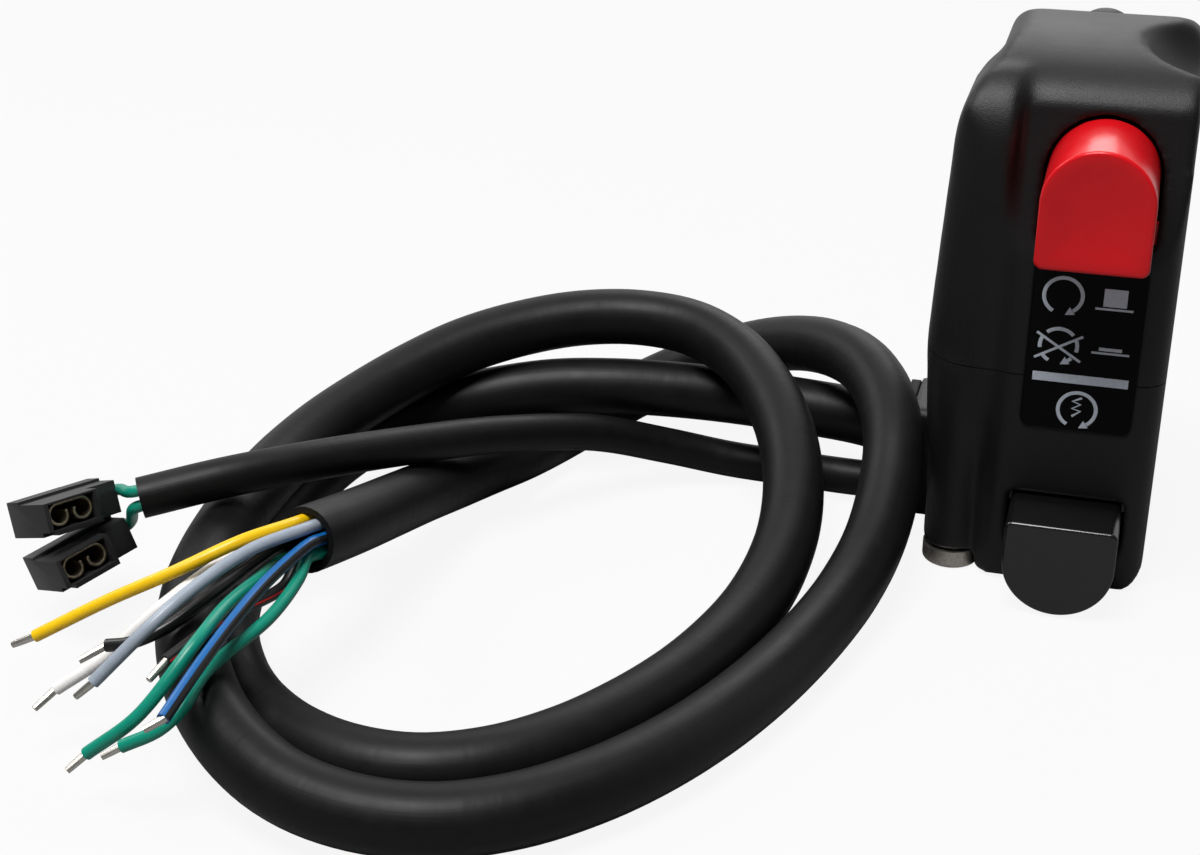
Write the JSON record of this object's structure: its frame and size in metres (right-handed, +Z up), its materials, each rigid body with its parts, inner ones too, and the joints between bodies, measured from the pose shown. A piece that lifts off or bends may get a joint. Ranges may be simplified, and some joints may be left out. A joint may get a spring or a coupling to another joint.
{
  "type": "handlebar switch cluster",
  "caption": "Two-part motorbike handlebar switch case with a red push-push engine stop button, a black starter button, a legend plate, a coiled loom with bare wire ends and a connector lead.",
  "frame": {"origin": "centre of the handlebar bore, on the plane of the buttons' middle", "axes": "+X along the bar, away from the cable outlet; +Y away from the rider; +Z up"},
  "size_m": [0.1322, 0.1187, 0.067],
  "materials": {
    "case_plastic": "satin, fine grain",
    "legend_gloss": "gloss, printed symbols",
    "stop_red": "gloss",
    "start_black": "semi gloss",
    "screw_steel": "zinc plated",
    "brass": "plain",
    "plunger_plastic": "satin",
    "spring_steel": "drawn wire",
    "base_plastic": "moulded",
    "grommet_rubber": "matt",
    "tie_nylon": "moulded",
    "sheath_pvc": "satin",
    "wire_yellow": "insulation",
    "wire_grey": "insulation",
    "wire_white": "insulation",
    "wire_black": "insulation",
    "wire_black_red": "insulation with a thin red line",
    "wire_green": "insulation",
    "wire_blue": "insulation with a black side",
    "tinned_copper": "tinned",
    "connector_nylon": "moulded",
    "terminal_brass": "tinned"
  },
  "bodies": {
    "housing": {"upper_housing": "case_plastic", "lower_housing": "case_plastic", "legend_plate": "legend_gloss", "clamp_screws": "screw_steel", "screw_inserts": "brass", "stop_spring": "spring_steel", "stop_switch_base": "base_plastic", "stop_contacts": "brass", "stop_latch_pin": "spring_steel", "start_spring": "spring_steel", "start_switch_base": "base_plastic", "start_contacts": "brass", "inner_leads": "wire_black", "cable_grommet": "grommet_rubber", "cable_tie": "tie_nylon", "loom_sheath": "sheath_pvc", "lead_sheath": "sheath_pvc", "yellow_wire": "wire_yellow", "grey_wire": "wire_grey", "white_wire": "wire_white", "black_wire": "wire_black", "black_red_wire": "wire_black_red", "green_wire": "wire_green", "green_wire_lower": "wire_green", "blue_wire": "wire_blue", "tinned_ends": "tinned_copper", "lead_wires": "wire_green", "connector_upper": "connector_nylon", "connector_lower": "connector_nylon", "receptacle_upper": "terminal_brass", "receptacle_lower": "terminal_brass"},
    "stop_slide": {"stop_button": "stop_red", "stop_plunger": "plunger_plastic", "stop_bridge": "brass"},
    "start_slide": {"start_button": "start_black", "start_plunger": "plunger_plastic", "start_bridge": "brass"},
    "latch": {"stop_latch": "spring_steel"}
  },
  "joints": [
    {"name": "stop_push", "type": "slide", "parent": "housing", "child": "stop_slide", "axis": [0, 1, 0], "range_m": [0, 0.0045], "stiffness_N_per_m": 500, "springref_m": -0.004, "deforming": ["stop_spring"]},
    {"name": "start_push", "type": "slide", "parent": "housing", "child": "start_slide", "axis": [0, 1, 0], "range_m": [0, 0.0025], "stiffness_N_per_m": 700, "springref_m": -0.003, "deforming": ["start_spring"]},
    {"name": "latch_turn", "type": "hinge", "parent": "housing", "child": "latch", "pos_m": [0.006, -0.0015, 0.0276], "axis": [0, 0, 1], "range_deg": [0, 15]}
  ],
  "couplings": [
    {"joint": "latch_turn", "follows": "stop_push", "rad_per_m": 58}
  ]
}
